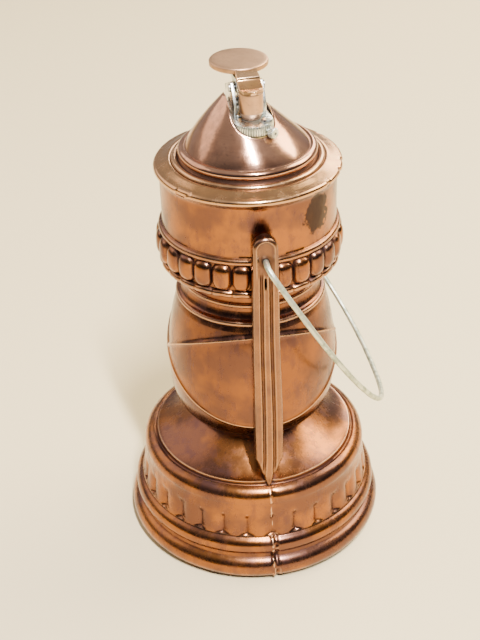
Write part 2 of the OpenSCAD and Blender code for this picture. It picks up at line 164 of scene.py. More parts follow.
def tube(path, radius, sides, squeeze=None):
    """A round bar along a path of points, with flat ends."""
    points = [Vector(p) for p in path]
    tangents = []
    for i in range(len(points)):
        tangents.append((points[min(i + 1, len(points) - 1)] - points[max(i - 1, 0)]).normalized())
    side = tangents[0].orthogonal().normalized()
    rings = []
    for i, (p, t) in enumerate(zip(points, tangents)):
        side = (side - t * side.dot(t)).normalized()
        up = t.cross(side)
        r = radius * (squeeze(i / (len(points) - 1)) if squeeze else 1)
        rings.append([p + (side * math.cos(TAU * k / sides) + up * math.sin(TAU * k / sides)) * r
                      for k in range(sides)])
    return loft(rings)


def plate(outline, x0, x1, width=None):
    """A plate with that (y, z) outline between x0 and x1. width(y) scales x along the plate."""
    n = len(outline)
    scale = width or (lambda y: 1.0)
    verts = [(x0 * scale(y), y, z) for y, z in outline] + [(x1 * scale(y), y, z) for y, z in outline]
    faces = [tuple(range(n))[::-1], tuple(range(n, 2 * n))]
    for i in range(n):
        j = (i + 1) % n
        faces.append((i, j, n + j, n + i))
    return verts, faces


def turned(verts, dx=0.0, dy=0.0):
    """Moves points of the insert by (dx, dy) and then turns them with it."""
    c, s = math.cos(insert_turn), math.sin(insert_turn)
    return [((x + dx) * c - (y + dy) * s, (x + dx) * s + (y + dy) * c, z) for x, y, z in verts]


def joined(*parts):
    """Several (verts, faces) pairs as one."""
    verts, faces = [], []
    for v, f in parts:
        base = len(verts)
        verts += [tuple(p) for p in v]
        faces += [tuple(base + i for i in face) for face in f]
    return verts, faces


def piece(name, shape, body, nodes, material, bevel=0.0, sharp=35):
    """Makes a mesh piece in millimetres that rides on a body and stands for CAD nodes."""
    verts, faces = shape
    mesh = bpy.data.meshes.new(name)
    mesh.from_pydata([Vector(v) * MM for v in verts], [], faces)
    bm = bmesh.new()
    bm.from_mesh(mesh)
    bmesh.ops.remove_doubles(bm, verts=bm.verts, dist=1e-7)
    bmesh.ops.recalc_face_normals(bm, faces=bm.faces)
    if bevel:
        edges = [e for e in bm.edges if e.calc_face_angle(0) > math.radians(30)]
        bmesh.ops.bevel(bm, geom=edges, offset=bevel * MM, segments=3, profile=0.6,
                        affect="EDGES", clamp_overlap=True)
    for face in bm.faces:
        face.smooth = True
    for edge in bm.edges:
        edge.smooth = edge.calc_face_angle(0) < math.radians(sharp)
    bm.normal_update()
    # how sharply the surface bends outward at each point, in 1/mm, for the worn edges
    wear = bm.verts.layers.float.new("wear")
    for v in bm.verts:
        steps = [e.other_vert(v).co - v.co for e in v.link_edges if e.calc_length() > 0.06 * MM]
        bends = [-2 * MM * v.normal.dot(step) / max(step.length_squared, 1e-12) for step in steps]
        v[wear] = sum(bends) / max(1, len(bends))
    bm.to_mesh(mesh)
    bm.free()
    obj = bpy.data.objects.new(name, mesh)
    bpy.context.scene.collection.objects.link(obj)
    mesh.materials.append(material)
    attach(obj, body)
    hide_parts(*nodes)
    return obj


# ---------- materials ----------
class Tree:
    """A material with a Principled shader, and short calls that add nodes to it."""

    def __init__(self, name, metallic):
        self.material = bpy.data.materials.new(name)
        self.material.use_nodes = True
        self.nodes = self.material.node_tree.nodes
        self.links = self.material.node_tree.links
        self.shader = self.nodes["Principled BSDF"]
        self.shader.inputs["Metallic"].default_value = metallic
        coords = self.nodes.new("ShaderNodeTexCoord")
        scale = self.nodes.new("ShaderNodeMapping")
        scale.inputs["Scale"].default_value = (1 / MM,) * 3
        self.links.new(coords.outputs["Object"], scale.inputs["Vector"])
        self.place = scale.outputs["Vector"]

    def add(self, kind, inputs=(), **settings):
        """A node, with its inputs given by name or number as values or as other nodes' outputs."""
        made = self.nodes.new(kind)
        for key, value in settings.items():
            setattr(made, key, value)
        for key, value in dict(inputs).items():
            if isinstance(value, bpy.types.NodeSocket):
                self.links.new(value, made.inputs[key])
            else:
                made.inputs[key].default_value = value
        return made

    def noise(self, size, detail=4.0, rough=0.6, stretch=(1, 1, 1), seed=0.0):
        """Noise with features of that many millimetres."""
        moved = self.add("ShaderNodeMapping", {"Vector": self.place, "Scale": stretch,
                                               "Location": (seed, seed * 1.7, -seed)})
        made = self.add("ShaderNodeTexNoise", {"Vector": moved.outputs[0], "Scale": 1.0 / size,
                                               "Detail": detail, "Roughness": rough})
        return made.outputs["Fac"]

    def ramp(self, value, low, high, out_low=0.0, out_high=1.0):
        """Maps low..high to out_low..out_high along an S curve."""
        made = self.add("ShaderNodeMapRange", {0: value, 1: low, 2: high, 3: out_low, 4: out_high},
                        interpolation_type="SMOOTHSTEP")
        return made.outputs[0]

    def math(self, operation, a, b):
        return self.add("ShaderNodeMath", {0: a, 1: b}, operation=operation).outputs[0]

    def mix(self, factor, a, b):
        """Mixes two colours."""
        made = self.add("ShaderNodeMix", data_type="RGBA")
        for key, value in ((0, factor), (6, a), (7, b)):
            if isinstance(value, bpy.types.NodeSocket):
                self.links.new(value, made.inputs[key])
            else:
                made.inputs[key].default_value = value if key == 0 else (*value, 1.0)
        return made.outputs[2]

    def crevice_shade(self, reach, low=0.35, high=0.85):
        """Ambient-occlusion mask, 1 in corners and grooves, 0 in the open, used to paint shade there."""
        shade = self.add("ShaderNodeAmbientOcclusion", {"Distance": reach * MM}, samples=8)
        return self.ramp(shade.outputs["AO"], low, high, 1.0, 0.0)

    def edges(self):
        """1 on outward edges, where plating wears."""
        wear = self.add("ShaderNodeAttribute", attribute_name="wear")
        return self.ramp(wear.outputs["Fac"], 0.3, 1.0)

    def bump(self, *layers):
        """Bump from (height, depth in millimetres) layers."""
        normal = None
        for height, depth in layers:
            made = self.add("ShaderNodeBump", {"Height": height, "Distance": depth * MM, "Strength": 1.0})
            if normal:
                self.links.new(normal, made.inputs["Normal"])
            normal = made.outputs["Normal"]
        self.links.new(normal, self.shader.inputs["Normal"])

    def finish(self, colour, roughness):
        self.links.new(colour, self.shader.inputs["Base Color"])
        self.links.new(roughness, self.shader.inputs["Roughness"])
        return self.material


def copper(name, warm, brown, dark, worn, rough, stain=0.5, patch=None, highlight_above=None, spun=0.0,
           seed=0.0):
    """Lacquered copper plate: warm and brown areas, dark tarnish in spots, painted shade in corners and
    grooves, worn edges, and a painted highlight on the top above highlight_above.
    """
    t = Tree(name, 1.0)
    cloud = t.noise(11, 3, 0.55, seed=seed)
    streak = t.noise(3.4, 5, 0.65, stretch=(1, 1, 0.45), seed=seed + 3)
    speck = t.noise(0.8, 3, 0.7, seed=seed + 7)
    fine = t.noise(0.25, 2, 0.6, seed=seed + 11)
    colour = t.mix(t.ramp(cloud, 0.40, 0.60), warm, brown)
    tarnish = t.math("MULTIPLY", t.ramp(streak, 0.48, 0.70), stain)
    colour = t.mix(tarnish, colour, dark)
    colour = t.mix(t.math("MULTIPLY", t.ramp(speck, 0.60, 0.72), 0.6), colour, dark)
    rougher = t.ramp(streak, 0.35, 0.75, rough[0], rough[1])
    if patch:
        away = t.add("ShaderNodeVectorMath", {0: t.place, 1: patch}, operation="SUBTRACT").outputs[0]
        flat = t.add("ShaderNodeVectorMath", {0: away, 1: (1, 1, 0.78)}, operation="MULTIPLY").outputs[0]
        reach = t.add("ShaderNodeVectorMath", {0: flat}, operation="LENGTH").outputs["Value"]
        ragged = t.math("ADD", reach, t.math("MULTIPLY", t.noise(2.2, 5, 0.75, seed=5), 7.0))
        spot = t.ramp(ragged, 7.2, 7.9, 0.93, 0.0)
        colour = t.mix(spot, colour, (0.035, 0.022, 0.022))
        rougher = t.math("ADD", rougher, t.math("MULTIPLY", spot, 0.25))
    # painted highlight: the top of the piece above this height is mixed towards a light gold
    if highlight_above:
        height = t.add("ShaderNodeSeparateXYZ", {0: t.place}).outputs["Z"]
        top_highlight = t.math("MULTIPLY", t.ramp(height, highlight_above - 0.6, highlight_above), 0.6)
        colour = t.mix(top_highlight, colour, (0.74, 0.42, 0.19))
    crease_shade = t.crevice_shade(1.6, 0.4, 0.94)
    # painted shade: the colour goes nearly black where ambient occlusion finds corners and grooves
    colour = t.mix(t.math("MULTIPLY", crease_shade, 0.85), colour, (0.045, 0.028, 0.032))
    colour = t.mix(t.math("MULTIPLY", t.edges(), 0.5), colour, worn)
    rougher = t.math("ADD", rougher, t.math("MULTIPLY", crease_shade, 0.3))
    rings = t.noise(0.35, 2, 0.6, stretch=(0.02, 0.02, 1), seed=seed + 5)
    t.bump((cloud, 0.10), (streak, 0.03), (fine, 0.006), (rings, spun))
    return t.finish(colour, rougher)


def plain_metal(name, light, dark, rough, grain=0.3, depth=0.01):
    """Bare or plated metal with dull patches, painted shade in the corners and a fine grain."""
    t = Tree(name, 1.0)
    cloud = t.noise(2.4, 4, 0.6)
    fine = t.noise(grain, 3, 0.7, seed=4)
    colour = t.mix(t.ramp(cloud, 0.4, 0.65), light, dark)
    colour = t.mix(t.math("MULTIPLY", t.ramp(fine, 0.58, 0.75), 0.5), colour, dark)
    crease_shade = t.crevice_shade(0.7)
    # painted shade: the colour goes dark where ambient occlusion finds corners and grooves
    colour = t.mix(t.math("MULTIPLY", crease_shade, 0.8), colour, (0.05, 0.05, 0.045))
    rougher = t.ramp(cloud, 0.35, 0.7, rough[0], rough[1])
    rougher = t.math("ADD", rougher, t.math("MULTIPLY", crease_shade, 0.3))
    t.bump((cloud, 0.02), (fine, depth))
    return t.finish(colour, rougher)


def fibre(name, light, dark, size, depth):
    """Cotton, felt or card: matt, with tangled fibres."""
    t = Tree(name, 0.0)
    long_fibre = t.noise(size, 6, 0.75, stretch=(1, 0.35, 1))
    cross_fibre = t.noise(size * 0.8, 6, 0.75, stretch=(0.35, 1, 1), seed=9)
    tangle = t.math("MAXIMUM", long_fibre, cross_fibre)
    colour = t.mix(t.ramp(tangle, 0.42, 0.68), dark, light)
    t.shader.inputs["Sheen Weight"].default_value = 0.4
    t.shader.inputs["Sheen Roughness"].default_value = 0.6
    t.bump((tangle, depth))
    return t.finish(colour, t.ramp(tangle, 0.3, 0.7, 0.98, 0.85))


# the dark stain on the drum, 40 degrees round from the front post
drum_r = 21.7
stain_angle = math.radians(-50)
stain_at = (drum_r * math.cos(stain_angle), drum_r * math.sin(stain_angle), deck_z - 7.4)

cast_warm = (0.31, 0.115, 0.034)
cast_brown = (0.16, 0.070, 0.045)
cast_dark = (0.085, 0.048, 0.065)
cast_worn = (0.84, 0.50, 0.30)
base_copper = copper("base_copper", cast_warm, cast_brown, cast_dark, cast_worn, (0.22, 0.34), 0.4, seed=1)
globe_copper = copper("globe_copper", (0.24, 0.090, 0.034), (0.135, 0.060, 0.042), cast_dark, cast_worn,
                      (0.2, 0.34), 0.42, seed=8)
crown_copper = copper("crown_copper", cast_warm, cast_brown, cast_dark, cast_worn, (0.18, 0.32), 0.45,
                      patch=stain_at, highlight_above=deck_z - 1.0, seed=15)
roof_copper = copper("roof_copper", (0.60, 0.32, 0.20), (0.48, 0.24, 0.145), (0.24, 0.13, 0.10), cast_worn,
                     (0.13, 0.20), 0.4, spun=0.010, seed=22)
post_copper = copper("post_copper", (0.26, 0.12, 0.058), (0.17, 0.085, 0.058), cast_dark,
                     (0.52, 0.30, 0.17), (0.24, 0.4), 0.4, seed=29)
arm_copper = copper("arm_copper", (0.80, 0.44, 0.17), (0.66, 0.34, 0.15), (0.32, 0.18, 0.11),
                    (0.95, 0.66, 0.42), (0.2, 0.3), 0.3, seed=36)
disc_copper = copper("disc_copper", (0.50, 0.29, 0.16), (0.42, 0.24, 0.13), (0.26, 0.16, 0.10),
                     (0.70, 0.42, 0.25), (0.36, 0.48), 0.3, seed=43)
snuffer_copper = copper("snuffer_copper", (0.60, 0.35, 0.21), (0.46, 0.27, 0.17), (0.24, 0.15, 0.11),
                        (0.82, 0.52, 0.34), (0.33, 0.42), 0.3, seed=50)
nickel = plain_metal("worn_nickel", (0.92, 0.94, 0.91), (0.62, 0.66, 0.60), (0.2, 0.4))
steel = plain_metal("plain_steel", (0.62, 0.62, 0.63), (0.42, 0.41, 0.40), (0.28, 0.45))
hard_steel = plain_metal("file_steel", (0.30, 0.29, 0.28), (0.12, 0.11, 0.10), (0.35, 0.6))
zinc = plain_metal("zinc_wire", (0.70, 0.72, 0.60), (0.38, 0.42, 0.32), (0.45, 0.65), 0.35, 0.04)
brass = plain_metal("drawn_brass", (0.83, 0.62, 0.28), (0.58, 0.42, 0.20), (0.2, 0.4))
ferro = plain_metal("flint_stone", (0.20, 0.19, 0.18), (0.10, 0.09, 0.09), (0.6, 0.8), 0.15, 0.03)
felt = fibre("green_felt", (0.16, 0.34, 0.21), (0.05, 0.14, 0.08), 0.5, 0.12)
cotton = fibre("white_cotton", (0.92, 0.90, 0.84), (0.66, 0.62, 0.54), 0.35, 0.08)
scorched = fibre("scorched_cotton", (0.50, 0.43, 0.34), (0.16, 0.13, 0.11), 0.25, 0.05)
card = fibre("pressed_card", (0.55, 0.44, 0.30), (0.40, 0.31, 0.20), 0.4, 0.02)
gasket = fibre("fibre_washer", (0.08, 0.075, 0.07), (0.03, 0.03, 0.03), 0.2, 0.01)


# ---------- the cast body ----------
FRONT = -math.pi / 2
BACK = math.pi / 2


def seam(r, z, a, height=0.2):
    """Casting flash left along the front and back of the mould's parting line."""
    out = 0.0
    for where in (FRONT, BACK):
        d = around(a, where) * r + uneven(0, 0, z, 3.0, 0.5)
        ragged = 0.8 + 1.1 * noise.noise(Vector((0.3, where, z * 0.9)))
        out += height * ragged * math.exp(-(d / 0.36) ** 2)
        out -= 0.8 * height * math.exp(-((d - 0.95) / 0.5) ** 2) * ragged
    return out


def base_piece():
    inner = foot_r - 5.5
    band_r, band_top_r = 31.4, 30.4
    flutes = 30
    band_low, band_high = 13.1, 20.9
    outline = [(inner, 0.0)]
    outline += arc(foot_r - 3.4, 3.4, 3.4, -90, 72, 18)
    outline += arc(30.6, 9.9, 2.9, -52, 66, 16)
    outline += dense([(band_r + 0.1, 12.75), (band_r, band_low), (band_top_r, band_high)], 0.35)
    outline += arc(26.9, 23.6, 3.4, -18, 74, 16)
    outline += [(27.85, 27.05), (27.6, 26.7), (27.1, 26.6), (26.85, 26.8), (26.7, 27.35)]
    outline += [(26.6 - 10.9 * t, 27.7 + 6.7 * t ** 1.35) for t in [i / 22 for i in range(23)]]
    outline += [(15.5, seat_z), (14.6, seat_z), (14.6, seat_z + 3), (12.8, seat_z + 3), (12.8, 33.2),
                (14, 31.8), (25.8, 24.9), (28.1, 19.5), (inner - 2, 8), (inner - 2, 6.2), (inner, 6.2)]

    def shape(r, z, a):
        if r < 14.7 or (z < 25.2 and r < 29):
            return r, z
        if band_low <= z <= band_high + 0.4 and r > 29.8:
            u = ((around(a, FRONT) * flutes / TAU) % 1.0) * 2 - 1
            fade = smooth(-0.2, 2.6, band_high - 1.2 * u * u - z) * smooth(-0.3, 0.5, z - band_low)
            r -= 0.95 * abs(u) ** 2.2 * fade
        c, s = math.cos(a), math.sin(a)
        r += uneven(r * c, r * s, z, 7, 0.07)
        r += seam(r, z, a, 0.55 if z < 13 else 0.2)
        return min(r, foot_r), z

    return lathe(outline, 720, shape)


def globe_piece():
    sides = [(16.6, 35.0), (18.3, 36.4), (19.9, 38.4), (21.0, 41.0), (21.75, 45.0), (22.05, 51.0),
             (21.9, 56.0), (21.4, 60.7), (20.6, 65.3), (19.5, 69.6)]
    outline = [(14.75, seat_z), (15.8, seat_z)] + dense(spline(sides, 8), 0.32)
    outline += arc(18.55, 71.5, 0.75, -60, 85, 8)
    outline += spline([(18.0, 72.5), (17.5, 73.3), (17.15, 74.4)], 3)
    outline += arc(17.0, 76.0, 0.8, -75, 75, 8)
    outline += [(17.1, 77.2), (17.1, crown_z), (15.3, crown_z), (15.3, 75), (17.2, 70), (19.6, 63),
                (20.2, 51), (19.2, 42), (17, 38.4), (14.75, 38.2)]
    hoop_z = 55.4
    hoop_slope = math.tan(math.radians(33.4))

    def shape(r, z, a):
        if z < seat_z + 0.05 or z > 72 or r < 16.4:
            return r, z
        tilt = hoop_slope * r * abs(math.sin(a))
        upper = z - (hoop_z + tilt)
        lower = z - (hoop_z - tilt)
        rib = max(0.55 * math.exp(-(upper / 0.6) ** 2), 0.65 * math.exp(-(lower / 0.6) ** 2))
        # the globe bulges a little inside the hoops and steps back outside them
        rib += 0.22 * smooth(0.0, 0.8, -upper) * smooth(0.0, 0.8, lower)
        c, s = math.cos(a), math.sin(a)
        r += rib + uneven(r * c, r * s, z, 8, 0.10)
        return r, z

    return lathe(outline, 420, shape)


def crown_piece():
    lobes = 28
    mid, half = crown_z + 4.1, 3.5
    outline = [(1.6, crown_z), (20.4, crown_z), (20.9, crown_z - 1.2)]
    outline += arc(lobe_r - 1.65, crown_z - 0.45, 0.95, -115, 60, 10)
    outline += dense([(21.9, crown_z + 0.55), (21.9, mid + half + 0.1)], 0.3)
    outline += arc(drum_r + 0.05, 91, 0.92, -52, 78, 10)
    outline += dense([(drum_r, 92.1), (drum_r, deck_z - 2.8), (drum_r + 0.55, deck_z - 2.05)], 0.8)
    outline += arc(22.1, deck_z - 0.95, 0.9, -75, 85, 10)
    outline += [(21.7, deck_z + 0.02), (20.8, deck_z + 0.28), (19.8, deck_z + 0.68), (19.25, deck_z + 0.86),
                (18.95, deck_z + 0.84), (18.72, deck_z + 0.62)]
    outline += arc(17.9, deck_z + 0.75, 0.8, 0, 160, 10)
    outline += [(16.85, deck_z - 0.2), (12, deck_z - 0.2), (12, deck_z - 1.7), (20.2, deck_z - 1.7),
                (20.2, crown_z + 1.8), (1.6, crown_z + 1.8)]

    def shape(r, z, a):
        if r < 20.5 and z < deck_z - 1:
            return r, z
        u = (((around(a, FRONT) * lobes / TAU) + 0.5) % 1.0) * 2 - 1
        if crown_z + 0.5 <= z <= mid + half + 0.15 and r < 22.3:
            v = min(1.0, abs((z - mid) / half))
            egg = max(0.0, 1 - abs(u) ** 2.5 - v ** 3.1) ** 0.52
            r += (lobe_r - 21.95) * egg - 0.15 * (1 - egg)
        elif z < crown_z + 0.6 and r > 21:
            r -= 0.4 * abs(u) ** 3 * smooth(21, 22.4, r)
            z += 0.12 * math.cos(math.pi * u)
        c, s = math.cos(a), math.sin(a)
        r += uneven(r * c, r * s, z, 8, 0.08)
        nick = noise.noise(Vector((9 * c, 9 * s, z * 0.2)))
        if z > deck_z - 2 and r > 22.3:
            r -= 0.3 * smooth(0.32, 0.55, nick)
        return min(r, lobe_r), z

    return lathe(outline, lobes * 22, shape)


def oblong_side(x, y, half, ends):
    """Distance outside an oblong with that half width and those end centres, negative inside."""
    return math.hypot(x, max(0.0, abs(y) - ends)) - half


def roof_piece():
    roll_r = 1.3
    roll_z = deck_z + 1.4 + roll_r
    cone_r, cone_z = roof_r - 1.0, roll_z + 1.0
    tip_r, tip_x = 3.1, -2.3
    half, ends = 5.2, 5.0
    sides, steps = 288, 26
    c_turn, s_turn = math.cos(insert_turn), math.sin(insert_turn)

    def outside(p):
        x, y = p[0] * c_turn + p[1] * s_turn, -p[0] * s_turn + p[1] * c_turn
        return oblong_side(x, y, half, ends)

    def first_inside(a, b):
        """How far from a to b the line meets the insert's opening."""
        low, high = 0.0, 1.0
        if outside([p + (q - p) for p, q in zip(a, b)]) > 0:
            return 1.0
        for _ in range(24):
            half_way = (low + high) / 2
            if outside([p + (q - p) * half_way for p, q in zip(a, b)]) > 0:
                low = half_way
            else:
                high = half_way
        return low

    rings = []
    skirt = [(12.8, deck_z - 0.2), (roof_r + 0.3, deck_z - 0.2), (roof_r + 0.3, deck_z + 1.1),
             (roof_r + 0.1, deck_z + 1.45), (roof_r, deck_z + 1.65)]
    roll = arc(roof_r - roll_r + 0.15, roll_z + 0.1, roll_r, -38, 88, 14)
    for s in range(sides):
        a = TAU * s / sides
        c, n = math.cos(a), math.sin(a)
        foot = (cone_r * c, cone_r * n, cone_z)
        tip = (tip_x + tip_r * c, tip_r * n, roof_top)
        ring = [(r * c, r * n, z) for r, z in skirt + roll]
        reach = first_inside(foot, tip)
        top = [p + (q - p) * reach for p, q in zip(foot, tip)]
        for i in range(1, steps + 1):
            t = i / steps
            x, y, z = [p + (q - p) * t for p, q in zip(foot, top)]
            bow = (0.15 + 0.35 * max(0.0, -c)) * math.sin(math.pi * min(1.0, t * reach))
            flare = -0.5 * (1 - t) ** 6
            push = bow + flare + uneven(x, y, z, 7, 0.12)
            ring.append((x + push * 0.7 * c, y + push * 0.7 * n, z + push * 0.5))
        last = ring[-1]
        middle = (-s_turn * max(-ends, min(ends, last[1])), c_turn * max(-ends, min(ends, last[1])))
        rim = first_inside(last, (middle[0], middle[1], last[2]))
        edge = [last[0] + (middle[0] - last[0]) * rim, last[1] + (middle[1] - last[1]) * rim]
        flat = math.dist(edge, last[:2])
        ring[-1] = (last[0], last[1], last[2] - min(0.25, 0.6 * flat))
        soft = 0.3
        ring.append((last[0] + (edge[0] - last[0]) * soft, last[1] + (edge[1] - last[1]) * soft, last[2]))
        ring.append((edge[0], edge[1], last[2] - 0.05))
        wall_low = 113.0
        for t in (0.04, 0.15, 0.5, 1.0):
            ring.append((edge[0], edge[1], last[2] - 0.05 + (wall_low - last[2]) * t))
        ring.append((11.5 * c, 11.5 * n, 111.6))
        rings.append(ring)
    verts, faces = loft(rings + [rings[0]], caps=False)
    return verts, faces


def post_piece(side):
    """A ribbed side post. side is -1 for the front and 1 for the back."""
    inner, outer = 24.0, post_out - 0.15
    low, tip_top = 26.7, 35.5
    across = 48

    def half_at(z):
        return 3.0 + 0.6 * smooth(post_top, low + 8, z)

    round_z = post_top - 3.0
    heights = [h[0] for h in dense([(low,), (tip_top,), (round_z,)], 0.4)]
    heights += [round_z + 3.0 * math.sin(math.radians(d)) for d in range(5, 90, 5)] + [post_top - 0.003]
    rings = []
    for z in heights:
        half = half_at(z)
        width = half
        lean = 0.35 * smooth(75, 45, z)
        if z < tip_top:
            k = (z - low) / (tip_top - low)
            width = 0.45 + (half - 0.45) * k
            lean *= k
        if z > round_z:
            width = math.sqrt(max(0.0009, 9.0 - (z - round_z) ** 2))
        ring = []
        for i in range(across + 1):
            x = (-1 + 2 * i / across) * width
            inside = width - abs(x)
            if z > round_z:
                inside = 3.0 - math.hypot(x, z - round_z)
            corner = min(1.0, max(0.0, inside))
            rounding = 1.0 - math.sqrt(max(0.0, 1.0 - (1.0 - corner) ** 2))
            groove = sum(math.exp(-((x - g * half * 0.36) / 0.40) ** 2) for g in (-1, 1))
            ribs = smooth(pivot_z - 1.5, pivot_z - 4.5, z) * smooth(low + 1, low + 6, z)
            spoon = 0.42 * smooth(0.75, 1.5, inside) * smooth(pivot_z - 5, pivot_z - 1, z)
            eye = 0.5 * math.exp(-((x * x + (z - pivot_z) ** 2) / 0.95 ** 2))
            slit = 0.8 * math.exp(-((x + 0.15) / 0.22) ** 2)
            slit *= smooth(0, 0.6, z - pivot_z + 7.2) * smooth(0, 0.6, pivot_z - 3.9 - z)
            back_off = 0.5 * smooth(pivot_z - 3, post_top, z)
            depth = rounding * 0.9 + 0.6 * groove * ribs + spoon + eye + slit + back_off
            over_step = -0.75 * smooth(low + 3, low, z)
            ring.append((x + lean, -(outer - depth - over_step + uneven(x + side, 0, z, 6, 0.05)), z))
        back = [(width * k + lean, -inner - 0.2 * (abs(k) == 1), z) for k in (1, 0.9, 0, -0.9, -1)]
        rings.append(ring + back)
    verts, faces = joined(loft(rings), tube([(0, -inner - 0.4, 87), (0, -20.2, 87)], 1.2, 24))
    return [(-side * x, -side * y, z) for x, y, z in verts], faces


# ---------- the bail ----------
def bail_piece():
    reach = 64.2
    end_r = 34.0
    join = math.radians(80)
    rest = math.radians(147.4)
    elbow_r = 3.0
    foot = Vector((3.0, 31.2))
    end_c = reach - end_r
    join_u = Vector((math.cos(join), math.sin(join)))
    join_p = Vector((end_c, 0)) + end_r * join_u
    chord = join_p - foot
    side_r = chord.dot(chord) / (2 * chord.dot(join_u))
    side_c = join_p - side_r * join_u
    foot_a = math.atan2(foot.y - side_c.y, foot.x - side_c.x)
    elbow_c = foot - elbow_r * Vector((math.cos(foot_a), math.sin(foot_a)))
    degrees = math.degrees
    flat = [(elbow_c.x - elbow_r, y) for y in (22.95, 24.5, 25.5)]
    flat += arc(elbow_c.x, elbow_c.y, elbow_r, 180, degrees(foot_a), 8)
    flat += arc(side_c.x, side_c.y, side_r, degrees(foot_a), 80, 30)[1:]
    flat += arc(end_c, 0, end_r, 80, 0, 32)[1:]
    path2 = flat + [(x, -y) for x, y in flat[-2::-1]]
    shift = elbow_r - elbow_c.x
    path = []
    for i, (u, v) in enumerate(path2):
        t = i / (len(path2) - 1)
        free = smooth(0.06, 0.14, t) * smooth(0.06, 0.14, 1 - t)
        r = u + shift + 0.18 * free * noise.noise(Vector((t * 9, 2.0, 0)))
        w = 0.3 * free * noise.noise(Vector((t * 7, 8.0, 0)))
        x = r * math.sin(rest) - w * math.cos(rest)
        z = r * math.cos(rest) + w * math.sin(rest)
        path.append((x, 0.994 * v if abs(v) > 30 else v, pivot_z + z))
    return tube(path, wire_r, 16, lambda t: 1 + 0.05 * noise.noise(Vector((t * 60, 0, 0))) - 0.03)


# ---------- the lighter insert ----------
def oblong_loop(half, ends, count):
    """Points round an oblong, evenly spaced, with their outward normals."""
    straight = 2 * ends
    total = 2 * straight + TAU * half
    out = []
    for i in range(count):
        d = total * i / count
        if d < straight:
            out.append(((half, -ends + d), (1, 0)))
            continue
        d -= straight
        if d < math.pi * half:
            a = d / half
            out.append(((half * math.cos(a), ends + half * math.sin(a)), (math.cos(a), math.sin(a))))
            continue
        d -= math.pi * half
        if d < straight:
            out.append(((-half, ends - d), (-1, 0)))
            continue
        a = math.pi + (d - straight) / half
        out.append(((half * math.cos(a), -ends + half * math.sin(a)), (math.cos(a), math.sin(a))))
    return out


def collar_piece():
    half, ends, ribs = 5.1, 5.0, 84
    loop = oblong_loop(half, ends, ribs * 8)
    profile = [(-0.95, collar_seat - 1.4), (-0.95, collar_seat), (-0.3, collar_seat),
               (-0.08, collar_seat + 0.25), (-0.02, collar_seat + 0.5), (-0.02, collar_z - 0.55),
               (-0.10, collar_z - 0.3), (-0.28, collar_z - 0.06), (-0.5, collar_z)]
    rings = []
    for inset, z in profile:
        ring = []
        for i, ((x, y), (nx, ny)) in enumerate(loop):
            tooth = 0.5 - 0.5 * math.cos(TAU * (i % 8) / 8)
            cut = 0.26 * tooth ** 1.5 if inset > -0.2 else 0.0
            ring.append((x + nx * (inset - cut), y + ny * (inset - cut), z))
        rings.append(ring)
    body = loft(rings)
    boss = lathe([(0, collar_z - 0.3), (1.3, collar_z - 0.3), (1.28, collar_z + 0.45),
                  (1.1, collar_z + 0.85), (0.6, collar_z + 1.02), (0, collar_z + 1.05)], 32, closed=False)
    boss = ([(x * 1.1 + 3.0, y * 1.15 - 7.5, z) for x, y, z in boss[0]], boss[1])
    verts, faces = joined(body, boss)
    return turned(verts), faces


def screw_piece():
    teeth = 20
    profile = [(0, 3.2), (0.6, 3.2), (0.6, 5.85), (1.15, 5.9), (1.33, 6.08), (1.33, 7.15), (1.15, 7.35),
               (0.35, 7.4), (0.28, 7.1), (0, 7.1)]

    def shape(r, z, a):
        if r > 1.2:
            r -= 0.13 * (0.5 + 0.5 * math.cos(a * teeth))
        return r, z

    verts, faces = lathe(profile, teeth * 8, shape, closed=False)
    spin = Matrix.Rotation(math.radians(-58), 4, "Z") @ Matrix.Rotation(math.pi / 2, 4, "Y")
    placed = [spin @ Vector(v) + Vector((0, -5.0, 118.2)) for v in verts]
    return turned([tuple(v) for v in placed]), faces


def bracket_piece():
    ear_in, ear_out = 3.2, 3.9
    outline = [(-3.4, collar_z), (5.6, collar_z), (5.6, 124.8), (5.3, 125.1), (4.9, 125.3)]
    outline += [(y, z) for y, z in arc(0.0, pin_z, 1.4, 62, 112, 5)]
    outline += [(-1.5, pin_z + 0.2), (-2.6, 124.4), (-3.1, 123.4), (-3.4, 122.6)]
    ears = [plate(outline, ear_in, ear_out), plate(outline, -ear_out, -ear_in)]
    tray_y, slot_x = 5.6, 1.9
    sides = [(-3.4, collar_z), (tray_y, collar_z), (tray_y, collar_z + 0.45), (-3.4, collar_z + 0.45)]
    rear = [(4.1, collar_z), (tray_y, collar_z), (tray_y, collar_z + 0.44), (4.1, collar_z + 0.44)]
    tray = [plate(sides, -ear_in, -slot_x), plate(sides, slot_x, ear_in), plate(rear, -slot_x, slot_x)]
    verts, faces = joined(*ears, *tray)
    return turned(verts), faces


def arm_piece():
    bottom = pin_z + 0.35
    under = disc_top - 1.4
    tab = disc_top - 0.01
    hood_z = 127.15
    nose_y, nose_r = -4.2, 2.88
    half_wide = 2.7
    strap = [(9.2, under - 0.75), (9.2, under), (0.6, under), (0.9, tab - 0.4), (2.6, tab - 0.45),
             (2.6, tab - 0.15), (1.1, tab - 0.15), (0.5, tab - 0.22), (-2.0, 129.1), (-2.3, 128.9),
             (-2.4, 128.45), (-2.65, 128.25)]
    # enough stations along the nose for its end to come out round
    nose_ys = [nose_y - nose_r * math.sin(math.radians(d)) for d in (10, 25, 40, 55, 68, 80)]
    nose = [(y, hood_z) for y in nose_ys] + [(y, bottom) for y in nose_ys[::-1]]
    underside = [(-1.3, bottom), (-0.3, under - 0.9), (0.6, under - 0.75)]

    def width(y):
        if y < nose_y - 0.3:
            return math.sqrt(max(0.05, nose_r ** 2 - (y - nose_y) ** 2)) / half_wide
        return (2.4 + 0.45 * smooth(2.0, nose_y, y)) / half_wide

    verts, faces = plate(strap + nose + underside, -half_wide, half_wide, width)
    return turned(verts), faces


